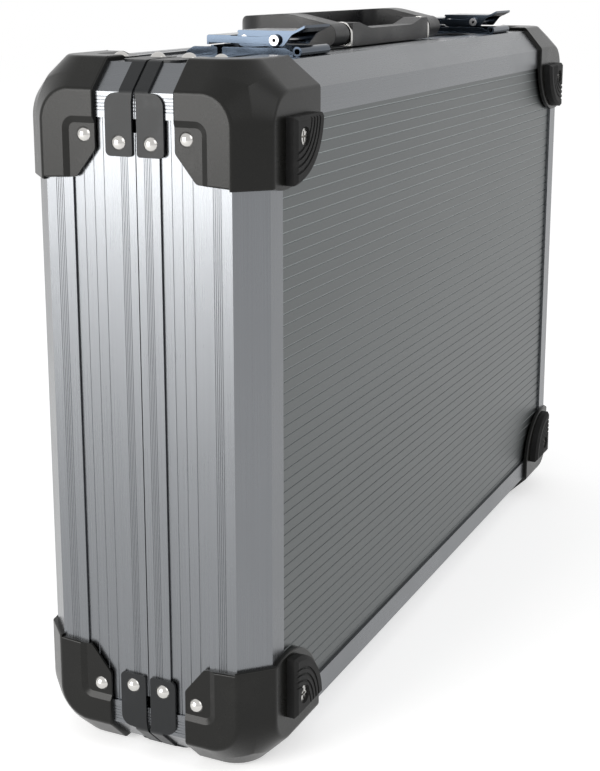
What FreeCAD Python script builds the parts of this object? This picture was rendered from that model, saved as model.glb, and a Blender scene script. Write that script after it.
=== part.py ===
"""Aluminium-framed attache case: two hinged shells, two draw latches and a folding handle.

The case stands on its hinge side. X runs along its length, Y through its thickness and Z up.
The body is the half at low Y, the lid the half at high Y. All sizes are in millimetres.
Pieces are drawn about the middle of the closed case and moved to their place on export.
"""
import FreeCAD, Part
import math
import os

V = FreeCAD.Vector

# ---- the closed case ----
LENGTH = 480.0            # end face to end face
HEIGHT = 330.0            # hinge side to handle side
THICKNESS = 120.0         # large face to large face
CHAMFER = 12.3            # leg of the bevel along all twelve edges
SEAM = 0.25               # from the parting plane to each half's rim

# ---- edge, corner and rim extrusions ----
EDGE_LIP = 12.2           # flat lip on the large face, beside the bevel
EDGE_LEG = 14.2           # leg on the side faces, beside the bevel
LIP_WALL = 1.4
FRAME_WALL = 1.8
POST_LEG = 11.5           # legs of the short corner extrusions, beside their bevel
RIM_DEPTH = 12.0          # from the parting plane to the rim's outer edge
RIM_WALL = 2.2
RIM_END_GAP = 30.0        # a rim stops this far from the corner
TONGUE_REACH = 3.0        # how far the body's tongue enters the lid
TONGUE_WALL = 1.2
TONGUE_GAP = 0.5          # between the tongue and the rim walls
TONGUE_ROOT = 4.0         # length of the web that carries the tongue
FINE_GROOVE = (0.5, 0.22)   # width and depth of the lines along the extrusions
EDGE_GROOVES = (5.3, 9.1, 5)  # first and last line from the bevel, and how many
RIM_GROOVES = (7.7, 4.3, 5)   # the same from the parting plane
POST_GROOVES = (2.2, 8.2, 5)  # the same from the bevel
LINE_GAP = 0.2            # shadow line between neighbouring extrusions and panels

# ---- panels and lining ----
PANEL_WALL = 1.65
PANEL_SEAT = 0.05         # panel to the back of the lip
PANEL_PITCH = 5.3         # between the grooves of the large panels
PANEL_TUCK = 8.0          # how far a large panel reaches behind the lip
PANEL_GROOVE = (0.8, 0.4)   # width and depth of the large panels' grooves
SIDE_PANEL_SINK = 1.2
SIDE_PANEL_GROOVES = 3
LINING_WALL = 4.0
LINING_GAP = 1.2          # lining to the panels behind it
LINING_EDGE = 22.0        # lining rim to the parting plane
LINING_CORNER = 16.0      # corner radius of the lining, seen into the shell
LINING_BEVEL = 7.5        # outer bevel that clears the edge extrusions
LINING_INNER_BEVEL = 4.0

# ---- corner caps, straps, rivets and feet ----
CAP_RAISED = 2.4
PLATE = 1.2               # straps, and the caps in their recess
CORNER_ROUND = 14.0       # corner radius of each flat of a cap
CAP_BLEND = 3.0           # rounding between the flats and bevels of a cap
STRAP_BLEND = 3.0
PRESSED_EDGE = 0.8        # rounding of the caps' outer edges
CORNER_SPAN = 75.0        # the corner hardware lies within this distance of a corner
OVERSHOOT = 9.0           # cutters and regions reach this far beyond the case
CAP_INNER = 20.5          # inner edge of a cap flap, from the parting plane
CAP_REACH = 52.0          # flap length along a side face, from the corner
CAP_SHOULDER = ((38.0, 3.0), (51.0, 3.0))   # distance from the corner, corner radius
CAP_SHOULDER_IN = 31.0    # second shoulder point, from the parting plane
CAP_TIP = 53.0            # flap length on the bevel, from the corner
CAP_STEP_Y = 34.0         # floor of the flap's recess, to the parting plane
CAP_STEP_W = 26.5         # floor of the flap's recess, to the corner
CAP_STEP_RUN = 3.0        # width of the slope round the recess
FLAP_SIDE = (59.7, 24.7)  # end of the large-face flap beside the foot's round edge
FLAP_TOP = (CHAMFER + 1, 53.0)
FLAP_BEVEL = 54.0         # the same flap's length on the bevel's outer side
FOOT_CLEAR = 4.0          # large-face flap round the foot
CAP_RIVET = (26.3, 31.6)  # from the parting plane, from the corner
STRAP_REACH = 40.6
STRAP_WIDTH = 15.0
STRAP_NECK = 7.5
STRAP_INNER = 1.2         # strap to the parting plane
STRAP_INNER_BEVEL = 0.6   # the same on the bevel
STRAP_RIVET = (8.2, 34.5)
RIVET_R = 3.5
RIVET_DOME = 2.2
RIVET_SHANK_R = 1.6
RIVET_HOLE_GAP = 0.15
RIVET_TAIL = 3.4          # shank end, measured in from the outer frame face
FOOT_CORNER = 22.5        # square corner of each foot, from both edges of the case
FOOT_R = 30.0
FOOT_THICK = 5.5
FOOT_BEVEL = 1.6
FOOT_SCREW = 9.0          # screw, from the foot's square corner
SCREW_HEAD_R = 4.2
SCREW_R = 1.9
SCREW_GAP = 0.2
SCREW_SINK = 1.2          # screw head below the foot's face
SCREW_TAIL = 4.0

# ---- hinge ----
HINGE_X = 140.0
HINGE_LENGTH = 66.0
HINGE_KNUCKLES = 5
HINGE_R = 2.2
HINGE_PIN_R = 0.9
PIN_GAP = 0.05
KNUCKLE_GAP = 0.3
HINGE_LEAF = 11.0         # leaf edge, from the parting plane
HINGE_RELIEF = 0.4

# ---- lid stays: two links of equal length at each end ----
STAY_Y = 16.0             # stay pivots, from the parting plane
STAY_Z = 95.0             # stay pivots, above the hinge axis
STAY_W = 8.0              # outer link, from the end face
STAY_WALL = 1.5
STAY_WIDTH = 9.0
STAY_GAP = 0.5
STAY_PIN_R = 2.0
STAY_HEAD_R = 3.4
STAY_HEAD = 0.9

# ---- handle ----
HANDLE_HALF = 80.0
HANDLE_ARM = 18.0
HANDLE_REACH = 38.0       # far side of the grip, from the parting plane
GRIP_WIDTH = 20.0
GRIP_TOP = 17.6
GRIP_LIFT = 1.0           # grip above the frame when folded down
GRIP_CORNER = 20.0
HANDLE_AXIS_Y = -19.0
HANDLE_AXIS_Z = 6.6       # above the frame
BARREL_R = 6.2
HANDLE_BASE_HALF = 58.0
HANDLE_BASE_WIDTH = 12.4
HANDLE_BASE_END = 12.6
HANDLE_BASE_MID = 9.0
EAR_PLATE = 2.2
HANDLE_PIN_R = 2.5
HANDLE_PIN_IN = 14.0

# ---- latches, measured from the latch's middle, the parting plane and the frame ----
LATCH_X = 146.5
LATCH_HALF = 16.5
LATCH_PLATE = 1.2
LATCH_START = -2.0
LATCH_END = -40.0
LATCH_RAIL = 4.0
CURL_R = 2.4
LEVER_HALF = 14.5
LEVER_TOP = 12.0
LEVER_NEAR = -9.5
LEVER_FAR = -40.0
LEVER_LIP = 5.0
LEVER_UNDER = 4.7
LEVER_PIN = (-13.0, 8.0)
HOOK_PIN = (-30.0, 7.5)
LATCH_PIN_R = 1.8
EAR_R = 2.6
EAR_SIDE_GAP = 0.4
HOOK_SIDE_GAP = 0.2
HOOK_NOSE = 6.5
HOOK_TOP = 9.6
HOOK_WAIST = 5.6
HOOK_LIP_BOTTOM = 5.0
HOOK_CLEAR = 0.3          # hook lip above the strike's ridge
STRIKE_START = 0.5
STRIKE_END = 17.6
STRIKE_RIDGE = (3.0, 4.6)

# ---- worked out from the sizes above ----
HALF = V(LENGTH / 2, THICKNESS / 2, HEIGHT / 2)
DOME_TOP = PLATE + RIVET_DOME
HINGE_Z = -HALF.z - PLATE
HOME = V(0, FOOT_THICK / 2, HALF.z + DOME_TOP)
LIP_END = CHAMFER + EDGE_LIP
EDGE_START = CHAMFER + CORNER_ROUND
LEG_END = CHAMFER + EDGE_LEG
POST_END = CHAMFER + POST_LEG
EDGE_INNER_Y = HALF.y - LEG_END
PANEL_FACE = HALF.y - LIP_WALL - PANEL_SEAT
STAY_LINK = math.hypot(STAY_Y, STAY_Z)
LATCHES = (("left", -1), ("right", 1))


# ---------------------------------------------------------------- helpers
def arc_corner(before, corner, after, radius):
    """The two tangent points and the mid point of an arc that rounds one corner."""
    into = (before - corner).normalize()
    out = (after - corner).normalize()
    half = into.getAngle(out) / 2
    middle = (into + out).normalize()
    centre = corner + middle * (radius / math.sin(half))
    start = corner + into * (radius / math.tan(half))
    stop = corner + out * (radius / math.tan(half))
    return start, centre - middle * radius, stop


def outline(points, lift):
    """A closed wire through 2-D points. A point's third value is its corner radius."""
    corners = [lift(p[0], p[1]) for p in points]
    edges, ends = [], []
    for i, point in enumerate(points):
        radius = point[2] if len(point) > 2 else 0
        here = corners[i]
        if radius:
            start, middle, stop = arc_corner(corners[i - 1], here, corners[(i + 1) % len(points)], radius)
            ends.append((start, stop, Part.Arc(start, middle, stop).toShape()))
        else:
            ends.append((here, here, None))
    for i, (start, stop, arc) in enumerate(ends):
        if arc:
            edges.append(arc)
        following = ends[(i + 1) % len(ends)][0]
        if stop.distanceToPoint(following) > 1e-6:
            edges.append(Part.LineSegment(stop, following).toShape())
    return Part.Wire(edges)


def prism(points, axis, low, high):
    """A 2-D outline drawn across an axis and extruded along it from low to high."""
    lifts = {"x": lambda a, b: V(low, a, b), "y": lambda a, b: V(a, low, b), "z": lambda a, b: V(a, b, low)}
    ways = {"x": V(1, 0, 0), "y": V(0, 1, 0), "z": V(0, 0, 1)}
    return Part.Face(outline(points, lifts[axis])).extrude(ways[axis] * (high - low))


def block(x0, x1, y0, y1, z0, z1):
    return Part.makeBox(x1 - x0, y1 - y0, z1 - z0, V(x0, y0, z0))


def rod(x0, x1, y, z, radius):
    """A cylinder along X."""
    return Part.makeCylinder(radius, x1 - x0, V(x0, y, z), V(1, 0, 0))


def joined(shapes):
    return shapes[0].multiFuse(shapes[1:]).removeSplitter() if len(shapes) > 1 else shapes[0]


def flip(shape, x=1, y=1, z=1):
    """Mirror a shape through the case's middle along each axis that is given as 1."""
    for sign, normal in ((x, V(1, 0, 0)), (y, V(0, 1, 0)), (z, V(0, 0, 1))):
        if sign > 0:
            shape = shape.mirror(V(0, 0, 0), normal)
    return shape


def export(node, *shapes):
    solids = [s for shape in shapes for s in shape.Solids]
    placed = Part.makeCompound(solids)
    placed.translate(HOME)
    placed.exportStep("parts/%s.step" % node)


def spread(start, stop, count):
    """Evenly spaced places, both ends included."""
    return [start + (stop - start) * i / (count - 1) for i in range(count)]


def grooves(places, face, size):
    """Points of shallow grooves cut in a flat face at height face, in the order of places."""
    width, depth = size
    way = 1 if places[-1] > places[0] else -1
    points = []
    for at in places:
        half = way * width / 2
        points += [(at - half, face), (at - half / 3, face + depth), (at + half / 3, face + depth),
                   (at + half, face)]
    return points


# ---------------------------------------------------------------- envelopes
def eight_sided(half_a, half_b, leg):
    return [(half_a - leg, -half_b), (half_a, leg - half_b), (half_a, half_b - leg), (half_a - leg, half_b),
            (leg - half_a, half_b), (-half_a, half_b - leg), (-half_a, leg - half_b), (leg - half_a, -half_b)]


def bevelled_case(grow):
    """The closed case's outer form with every plane moved out by grow."""
    leg = CHAMFER + grow * (2 - math.sqrt(2))
    x, y, z = HALF.x + grow, HALF.y + grow, HALF.z + grow
    along_x = prism(eight_sided(y, z, leg), "x", -x, x)
    along_y = prism(eight_sided(x, z, leg), "y", -y, y)
    along_z = prism(eight_sided(x, y, leg), "z", -z, z)
    return along_x.common(along_y).common(along_z)


def strap_skin():
    """A rounded shell of plate thickness over the case's outer form, near one corner."""
    outer = bevelled_case(-STRAP_BLEND).makeOffsetShape(PLATE + STRAP_BLEND, 0.01, join=0)
    if not outer.Solids:
        outer = Part.Solid(Part.Shell(outer.Faces))
    corner = block(-HALF.x - OVERSHOOT, CORNER_SPAN - HALF.x, -HALF.y - OVERSHOOT, -0.01,
                   -HALF.z - OVERSHOOT, CORNER_SPAN - HALF.z)
    return outer.common(corner).cut(bevelled_case(0))


def bevel_ring(lift, grow, depth):
    """Outline of the bevelled form at a depth below one flat, with a rounded corner at the case's corner."""
    near = CHAMFER - grow * (math.sqrt(2) - 1) - depth
    far = 2 * CORNER_SPAN
    points = [(near, near, CORNER_ROUND + CHAMFER - near), (far, near), (far, far), (near, far)]
    return outline(points, lambda a, b: lift(depth - grow, a, b))


def corner_form(grow):
    """The case's form near its low corner, moved out by grow, with a rounded corner to each flat."""
    lifts = (lambda c, a, b: V(c, a, b), lambda c, a, b: V(a, c, b), lambda c, a, b: V(a, b, c))
    form = block(-grow, CORNER_SPAN, -grow, CORNER_SPAN, -grow, CORNER_SPAN)
    for lift in lifts:
        rings = [bevel_ring(lift, grow, depth) for depth in (0, CORNER_SPAN + grow)]
        form = form.common(Part.makeLoft(rings, True, True))
    return form.removeSplitter()


def cap_skin():
    """The cap's raised shell: the corner form with its edges rounded, less the form inside it."""
    outer = corner_form(CAP_RAISED)
    edges = [edge for edge in outer.Edges if max(middle_of(edge)) < CORNER_SPAN - 1]
    shell = outer.makeFillet(CAP_BLEND, edges).cut(corner_form(0))
    shell.translate(HALF * -1)
    return shell


def middle_of(edge):
    return edge.valueAt((edge.FirstParameter + edge.LastParameter) / 2)


def flat_edges(shape, height):
    """Edges that lie on one of the three flats at this height over the case."""
    found = []
    for edge in shape.Edges:
        middle = middle_of(edge)
        if any(abs(a + b + height) < 1e-3 for a, b in zip(middle, HALF)):
            found.append(edge)
    return found


# ---------------------------------------------------------------- extrusions
def edge_section():
    """Section of an edge extrusion: distance from the large face, distance from the side face."""
    diagonal = FRAME_WALL * math.sqrt(2)
    first, last, count = EDGE_GROOVES
    lines = grooves(spread(CHAMFER + first, CHAMFER + last, count), 0, FINE_GROOVE)
    outer = [(0, LIP_END), (0, CHAMFER), (CHAMFER, 0)] + lines + [(LEG_END, 0)]
    inner = [(LEG_END, FRAME_WALL), (CHAMFER + diagonal - FRAME_WALL, FRAME_WALL),
             (LIP_WALL, CHAMFER + diagonal - LIP_WALL), (LIP_WALL, LIP_END)]
    return outer + inner


def long_edge():
    points = [(a - HALF.y, b - HALF.z) for a, b in edge_section()]
    return prism(points, "x", EDGE_START - HALF.x, HALF.x - EDGE_START)


def short_edge():
    points = [(b - HALF.x, a - HALF.y) for a, b in edge_section()]
    reach = HALF.z - EDGE_START
    return prism(points, "z", -reach, reach)


def corner_post():
    diagonal = FRAME_WALL * math.sqrt(2)
    first, last, count = POST_GROOVES
    lines = grooves(spread(CHAMFER + last, CHAMFER + first, count), 0, FINE_GROOVE)
    leg = [(POST_END, FRAME_WALL), (POST_END, 0)] + lines + [(CHAMFER, 0)]
    inner = CHAMFER + diagonal - FRAME_WALL
    points = leg + [(b, a) for a, b in reversed(leg)] + [(FRAME_WALL, inner), (inner, FRAME_WALL)]
    points = [(a - HALF.x, b - HALF.z) for a, b in points]
    return prism(points, "y", LINE_GAP - EDGE_INNER_Y, -SEAM)


def rim_section(tongue):
    """Section of a rim: place along Y below the parting plane, distance in from the side face."""
    first, last, count = RIM_GROOVES
    lines = grooves(spread(-first, -last, count), 0, FINE_GROOVE)
    outer = [(-RIM_DEPTH, 0)] + lines + [(-SEAM, 0), (-SEAM, RIM_WALL)]
    if not tongue:
        return outer + [(-RIM_DEPTH, RIM_WALL)]
    inside = RIM_WALL + TONGUE_GAP
    web = TONGUE_ROOT + TONGUE_ROOT / 2
    return outer + [(-TONGUE_ROOT, RIM_WALL), (-TONGUE_ROOT, inside), (TONGUE_REACH, inside),
                    (TONGUE_REACH, inside + TONGUE_WALL), (-web, inside + TONGUE_WALL), (-web, RIM_WALL),
                    (-RIM_DEPTH, RIM_WALL)]


def long_rim(tongue):
    points = [(a, b - HALF.z) for a, b in rim_section(tongue)]
    return prism(points, "x", RIM_END_GAP - HALF.x, HALF.x - RIM_END_GAP)


def short_rim(tongue):
    points = [(b - HALF.x, a) for a, b in rim_section(tongue)]
    return prism(points, "z", RIM_END_GAP - HALF.z, HALF.z - RIM_END_GAP)


def side_panel_section():
    low, high = LINE_GAP - EDGE_INNER_Y, -RIM_DEPTH - LINE_GAP
    places = spread(low, high, SIDE_PANEL_GROOVES + 2)[1:-1]
    top = [(low, SIDE_PANEL_SINK)] + grooves(places, SIDE_PANEL_SINK, FINE_GROOVE)
    return top + [(high, SIDE_PANEL_SINK), (high, RIM_WALL), (low, RIM_WALL)]


def long_side_panel():
    points = [(a, b - HALF.z) for a, b in side_panel_section()]
    reach = HALF.x - POST_END - LINE_GAP
    return prism(points, "x", -reach, reach)


def short_side_panel():
    points = [(b - HALF.x, a) for a, b in side_panel_section()]
    reach = HALF.z - POST_END - LINE_GAP
    return prism(points, "z", -reach, reach)


def face_panel():
    edge = HALF.z - LIP_END + PANEL_TUCK
    count = int(2 * (HALF.z - LIP_END) / PANEL_PITCH)
    reach = PANEL_PITCH * (count - 1) / 2
    outer = [(-edge, -PANEL_FACE)] + grooves(spread(-reach, reach, count), -PANEL_FACE, PANEL_GROOVE)
    outer.append((edge, -PANEL_FACE))
    back = [(edge, PANEL_WALL - PANEL_FACE), (-edge, PANEL_WALL - PANEL_FACE)]
    reach = HALF.x - LIP_END + PANEL_TUCK
    return prism([(y, z) for z, y in outer + back], "x", -reach, reach)


def lining():
    """An open tray of lining foam inside one shell."""
    x = HALF.x - RIM_WALL - LINING_GAP - RIVET_SHANK_R
    z = HALF.z - RIM_WALL - LINING_GAP - RIVET_SHANK_R
    back = PANEL_WALL + LINING_GAP - PANEL_FACE
    corners = ((-1, -1), (1, -1), (1, 1), (-1, 1))
    outer = [(sx * x, sz * z, LINING_CORNER) for sx, sz in corners]
    inner = [(sx * (x - LINING_WALL), sz * (z - LINING_WALL), LINING_CORNER - LINING_WALL) for sx, sz in corners]
    tray = bevelled_back(prism(outer, "y", back, -LINING_EDGE), back, LINING_BEVEL)
    hollow = back + LINING_WALL
    return tray.cut(bevelled_back(prism(inner, "y", hollow, 1), hollow, LINING_INNER_BEVEL))


def bevelled_back(solid, back, leg):
    """Bevel the edges of the face that lies at Y = back."""
    edges = [e for e in solid.Edges if all(abs(v.Y - back) < 1e-6 for v in e.Vertexes)]
    return solid.makeChamfer(leg, edges)


# ---------------------------------------------------------------- corner hardware
def cap_regions():
    """Three blocks that hold a cap's flaps: end face, hinge side and large face."""
    (low, low_round), (high, high_round) = CAP_SHOULDER
    edge = -HALF.y - OVERSHOOT
    side = [(-CAP_INNER, -OVERSHOOT), (-CAP_INNER, low, low_round), (-CAP_SHOULDER_IN, high, high_round),
            (CHAMFER - HALF.y, CAP_REACH), (-HALF.y, CAP_TIP), (edge, CAP_TIP), (edge, -OVERSHOOT)]
    end = prism([(p[0], p[1] - HALF.z) + p[2:] for p in side], "x", -HALF.x - OVERSHOOT, CHAMFER - HALF.x)
    below = prism([(p[1] - HALF.x, p[0]) + p[2:] for p in side], "z", -HALF.z - OVERSHOOT, CHAMFER - HALF.z)
    return [end, below, face_flap()]


def face_flap():
    """The flap on the large face, cut back round the foot."""
    def at(u, w):
        return V(u - HALF.x, 0, w - HALF.z)
    start, stop = at(*FLAP_SIDE), at(*FLAP_TOP)
    middle = at(FOOT_CORNER, FOOT_CORNER) + V(1, 0, 1).normalize() * (FOOT_R + FOOT_CLEAR)
    points = [stop, at(-OVERSHOOT, FLAP_TOP[1]), at(-OVERSHOOT, -OVERSHOOT), at(FLAP_BEVEL, -OVERSHOOT),
              at(FLAP_BEVEL, 0), at(FLAP_SIDE[0], CHAMFER), start]
    edges = [Part.LineSegment(a, b).toShape() for a, b in zip(points, points[1:])]
    edges.append(Part.Arc(start, middle, stop).toShape())
    flap = Part.Face(Part.Wire(edges)).extrude(V(0, OVERSHOOT + CHAMFER, 0))
    flap.translate(V(0, -HALF.y - OVERSHOOT, 0))
    return flap


def recess(lift):
    """A cutter with sloping sides for the sunk part of one flap."""
    rings = []
    for height in (PLATE, OVERSHOOT):
        run = CAP_STEP_RUN * (height - PLATE) / (CAP_RAISED - PLATE)
        points = [(OVERSHOOT, CAP_STEP_W - run, 0), (-CAP_STEP_Y - run, CAP_STEP_W - run, 3 + run),
                  (-CAP_STEP_Y - run, CORNER_SPAN, 0), (OVERSHOOT, CORNER_SPAN, 0)]
        rings.append(outline(points, lambda y, w: lift(height, y, w)))
    return Part.makeLoft(rings, True, True)


def on_both_sides(along, from_corner, radius, low, high):
    """Two equal cylinders, one square to the end face and one square to the hinge side."""
    end = Part.makeCylinder(radius, high - low, V(-HALF.x + low, -along, from_corner - HALF.z), V(1, 0, 0))
    below = Part.makeCylinder(radius, high - low, V(from_corner - HALF.x, -along, -HALF.z + low), V(0, 0, 1))
    return [end, below]


def rivet_holes(place):
    return on_both_sides(*place, RIVET_SHANK_R + RIVET_HOLE_GAP, -OVERSHOOT, OVERSHOOT)


def screw_place():
    return FOOT_CORNER + FOOT_SCREW


def screw_hole(radius):
    at = screw_place()
    return Part.makeCylinder(radius, 40, V(at - HALF.x, -HALF.y - 20, at - HALF.z), V(0, 1, 0))


def corner_cap():
    shell = cap_skin().common(joined(cap_regions()))
    recesses = [recess(lambda c, y, w: V(-HALF.x - c, y, w - HALF.z)),
                recess(lambda c, y, w: V(w - HALF.x, y, -HALF.z - c))]
    cap = shell.cut(recesses + rivet_holes(CAP_RIVET))
    return cap.makeFillet(PRESSED_EDGE, flat_edges(cap, CAP_RAISED))


def strap():
    inner, edge, far = STRAP_INNER, STRAP_INNER_BEVEL, OVERSHOOT
    side = [(-edge, -far), (-edge, CHAMFER), (-inner, CHAMFER + 4), (-inner, STRAP_REACH, 1.5),
            (-STRAP_WIDTH, STRAP_REACH, 2.5), (-STRAP_WIDTH, CHAMFER + 1, 5.5), (-STRAP_NECK, CHAMFER, 0),
            (-STRAP_NECK, -far)]
    end = prism([(p[0], p[1] - HALF.z) + p[2:] for p in side], "x", -HALF.x - far, CHAMFER - HALF.x)
    below = prism([(p[1] - HALF.x, p[0]) + p[2:] for p in side], "z", -HALF.z - far, CHAMFER - HALF.z)
    return strap_skin().common(end.fuse(below)).cut(rivet_holes(STRAP_RIVET))


def rivet():
    """A dome-headed rivet along +X, its head's flat side at X 0."""
    ball = (RIVET_R ** 2 + RIVET_DOME ** 2) / (2 * RIVET_DOME)
    head = Part.makeSphere(ball, V(ball - RIVET_DOME, 0, 0)).common(block(-9, 0, -9, 9, -9, 9))
    return joined([head, rod(0, RIVET_TAIL + PLATE, 0, 0, RIVET_SHANK_R)])


def corner_rivets():
    """The rivets of one corner: those on the end face, then those on the hinge side."""
    ends, below = [], []
    for along, from_corner in (CAP_RIVET, STRAP_RIVET):
        end = rivet()
        end.translate(V(-HALF.x - PLATE, -along, from_corner - HALF.z))
        ends.append(end)
        low = rivet()
        low.rotate(V(0, 0, 0), V(0, 1, 0), -90)
        low.translate(V(from_corner - HALF.x, -along, -HALF.z - PLATE))
        below.append(low)
    return ends, below


def foot():
    """A quarter-round rubber foot with arched ribs, on the body's large face."""
    corner = V(FOOT_CORNER - HALF.x, -HALF.y - CAP_RAISED, FOOT_CORNER - HALF.z)
    pad = Part.makeCylinder(FOOT_R, FOOT_THICK, corner, V(0, -1, 0))
    quarter = block(corner.x, corner.x + 99, corner.y - 99, corner.y + 9, corner.z, corner.z + 99)
    pad = pad.common(quarter)
    outer = [e for e in pad.Edges if all(abs(v.Y - corner.y + FOOT_THICK) < 1e-6 for v in e.Vertexes)]
    pad = pad.makeChamfer(FOOT_BEVEL, outer)
    ribs = []
    for radius in (15.5, 18.5, 21.5, 24.5):
        ring = Part.makeCylinder(radius + 0.6, 9, corner, V(0, -1, 0)).cut(
            Part.makeCylinder(radius - 0.6, 9, corner, V(0, -1, 0)))
        ring.translate(V(0, -FOOT_THICK + 0.7, 0))
        ribs.append(ring)
    at = screw_place()
    seat = Part.makeCone(SCREW_HEAD_R + SCREW_GAP, SCREW_R + SCREW_GAP, SCREW_HEAD_R - SCREW_R,
                         V(at - HALF.x, corner.y - FOOT_THICK + SCREW_SINK, at - HALF.z), V(0, 1, 0))
    mouth = Part.makeCylinder(SCREW_HEAD_R + SCREW_GAP, SCREW_SINK,
                              V(at - HALF.x, corner.y - FOOT_THICK, at - HALF.z), V(0, 1, 0))
    return pad.cut(ribs + [seat, mouth, screw_hole(SCREW_R + SCREW_GAP)])


def foot_screw():
    """A countersunk cross-head screw that holds one foot."""
    at = screw_place()
    face = -HALF.y - CAP_RAISED - FOOT_THICK + SCREW_SINK
    head = Part.makeCone(SCREW_HEAD_R, SCREW_R, SCREW_HEAD_R - SCREW_R, V(0, 0, 0), V(0, 1, 0))
    tail = -PANEL_FACE + PANEL_WALL + SCREW_TAIL - LINING_GAP - LINING_WALL - face
    screw = joined([head, Part.makeCylinder(SCREW_R, tail, V(0, 0, 0), V(0, 1, 0))])
    cross = [block(-2.4, 2.4, -1, 1.3, -0.45, 0.45), block(-0.45, 0.45, -1, 1.3, -2.4, 2.4)]
    screw = screw.cut(cross)
    screw.translate(V(at - HALF.x, face, at - HALF.z))
    return screw


# ---------------------------------------------------------------- hinge
def hinge_relief():
    reliefs = []
    for sx in (-1, 1):
        low = sx * HINGE_X - HINGE_LENGTH / 2 - 1
        reliefs.append(rod(low, low + HINGE_LENGTH + 2, 0, HINGE_Z, HINGE_R + HINGE_RELIEF))
    return reliefs


def hinge_leaf(middle, side):
    """One leaf with its own knuckles. The body's leaf has the odd ones, at low Y."""
    step = HINGE_LENGTH / HINGE_KNUCKLES
    start = middle - HINGE_LENGTH / 2
    inner, outer = HINGE_R + HINGE_RELIEF, HINGE_LEAF
    y0, y1 = (-outer, -inner) if side < 0 else (inner, outer)
    pieces = [block(start, start + HINGE_LENGTH, y0, y1, HINGE_Z, HINGE_Z + PLATE)]
    first = 0 if side < 0 else 1
    for i in range(first, HINGE_KNUCKLES, 2):
        low = start + i * step + KNUCKLE_GAP / 2
        high = low + step - KNUCKLE_GAP
        pieces.append(rod(low, high, 0, HINGE_Z, HINGE_R))
        web = (y1, 0) if side < 0 else (0, y0)
        pieces.append(block(low, high, min(web), max(web), HINGE_Z, HINGE_Z + PLATE))
    return joined(pieces).cut(rod(start - 1, start + HINGE_LENGTH + 1, 0, HINGE_Z, HINGE_PIN_R + PIN_GAP))


def hinge_pin(middle):
    return rod(middle - HINGE_LENGTH / 2, middle + HINGE_LENGTH / 2, 0, HINGE_Z, HINGE_PIN_R)


# ---------------------------------------------------------------- lid stays
def link(low, start, stop, pin_hole_at, pin_at):
    """A flat bar with round ends between two points (y, z), with a hole or a pin at either end."""
    run = V(0, stop[0] - start[0], stop[1] - start[1])
    length = run.Length
    bar = block(low, low + STAY_WALL, -STAY_WIDTH / 2, STAY_WIDTH / 2, 0, length)
    ends = [rod(low, low + STAY_WALL, 0, z, STAY_WIDTH / 2) for z in (0, length)]
    solid = joined([bar] + ends)
    solid.rotate(V(0, 0, 0), V(1, 0, 0), -math.degrees(math.atan2(run.y, run.z)))
    solid.translate(V(0, start[0], start[1]))
    for y, z in pin_hole_at:
        solid = solid.cut(rod(low - 1, low + STAY_WALL + 1, y, z, STAY_PIN_R + PIN_GAP))
    for y, z in pin_at:
        top = low + 2 * STAY_WALL + STAY_GAP
        head = rod(top + STAY_GAP / 2, top + STAY_GAP / 2 + STAY_HEAD, y, z, STAY_HEAD_R)
        solid = joined([solid, rod(low, top + STAY_GAP, y, z, STAY_PIN_R), head])
    return solid


def stay_points():
    body = (-STAY_Y, HINGE_Z + STAY_Z)
    lid = (STAY_Y, HINGE_Z + STAY_Z)
    elbow = (0, HINGE_Z + 2 * STAY_Z)
    return body, lid, elbow


def stay_links():
    """The lower link turns on the body, the upper one joins its far end to the lid."""
    body, lid, elbow = stay_points()
    low = STAY_W - HALF.x
    lower = link(low, body, elbow, [body], [elbow])
    upper = link(low + STAY_WALL + STAY_GAP, elbow, lid, [elbow, lid], [])
    return lower, upper


def stay_anchor(point, reach):
    """A riveted plate inside the end panel with a headed pivot for one link."""
    y, z = point
    back = RIM_WALL + LINE_GAP - HALF.x
    side = 1 if y > 0 else -1
    plate = prism([(y - 3 * side, z - 11, 2), (y + 8 * side, z - 11, 2), (y + 8 * side, z + 11, 2),
                   (y - 3 * side, z + 11, 2)][::side], "x", back, back + PLATE)
    tip = STAY_W - HALF.x + reach
    head = rod(tip + STAY_GAP / 2, tip + STAY_GAP / 2 + STAY_HEAD, y, z, STAY_HEAD_R)
    return joined([plate, rod(back, tip + STAY_GAP, y, z, STAY_PIN_R), head])


# ---------------------------------------------------------------- handle
def handle_grip():
    top = HALF.z
    y0, y1 = HANDLE_AXIS_Y, HANDLE_REACH
    arm = HANDLE_HALF - HANDLE_ARM
    outer = [(-HANDLE_HALF, y0), (HANDLE_HALF, y0), (HANDLE_HALF, y1, GRIP_CORNER), (-HANDLE_HALF, y1, GRIP_CORNER)]
    inner = [(-arm, y0 - 9), (arm, y0 - 9), (arm, y1 - GRIP_WIDTH, 10), (-arm, y1 - GRIP_WIDTH, 10)]
    plan = prism(outer, "z", top, top + 30).cut(prism(inner, "z", top - 1, top + 31))
    crest = [(y0, GRIP_LIFT), (y1 - 1, GRIP_LIFT, 3), (y1, GRIP_TOP - 2, 9), (y0 + 22, GRIP_TOP, 40),
             (y0, HANDLE_AXIS_Z + BARREL_R)]
    profile = prism([(p[0], p[1] + top) + p[2:] for p in crest], "x", -HANDLE_HALF, HANDLE_HALF)
    grip = plan.common(profile)
    barrels = []
    for low in (-HANDLE_HALF, arm):
        barrels.append(rod(low, low + HANDLE_ARM, HANDLE_AXIS_Y, top + HANDLE_AXIS_Z, BARREL_R))
    grip = joined([grip] + barrels)
    hole = rod(-HANDLE_HALF + 3, HANDLE_HALF - 3, HANDLE_AXIS_Y, top + HANDLE_AXIS_Z, HANDLE_PIN_R + PIN_GAP)
    return grip.cut(hole)


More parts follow.
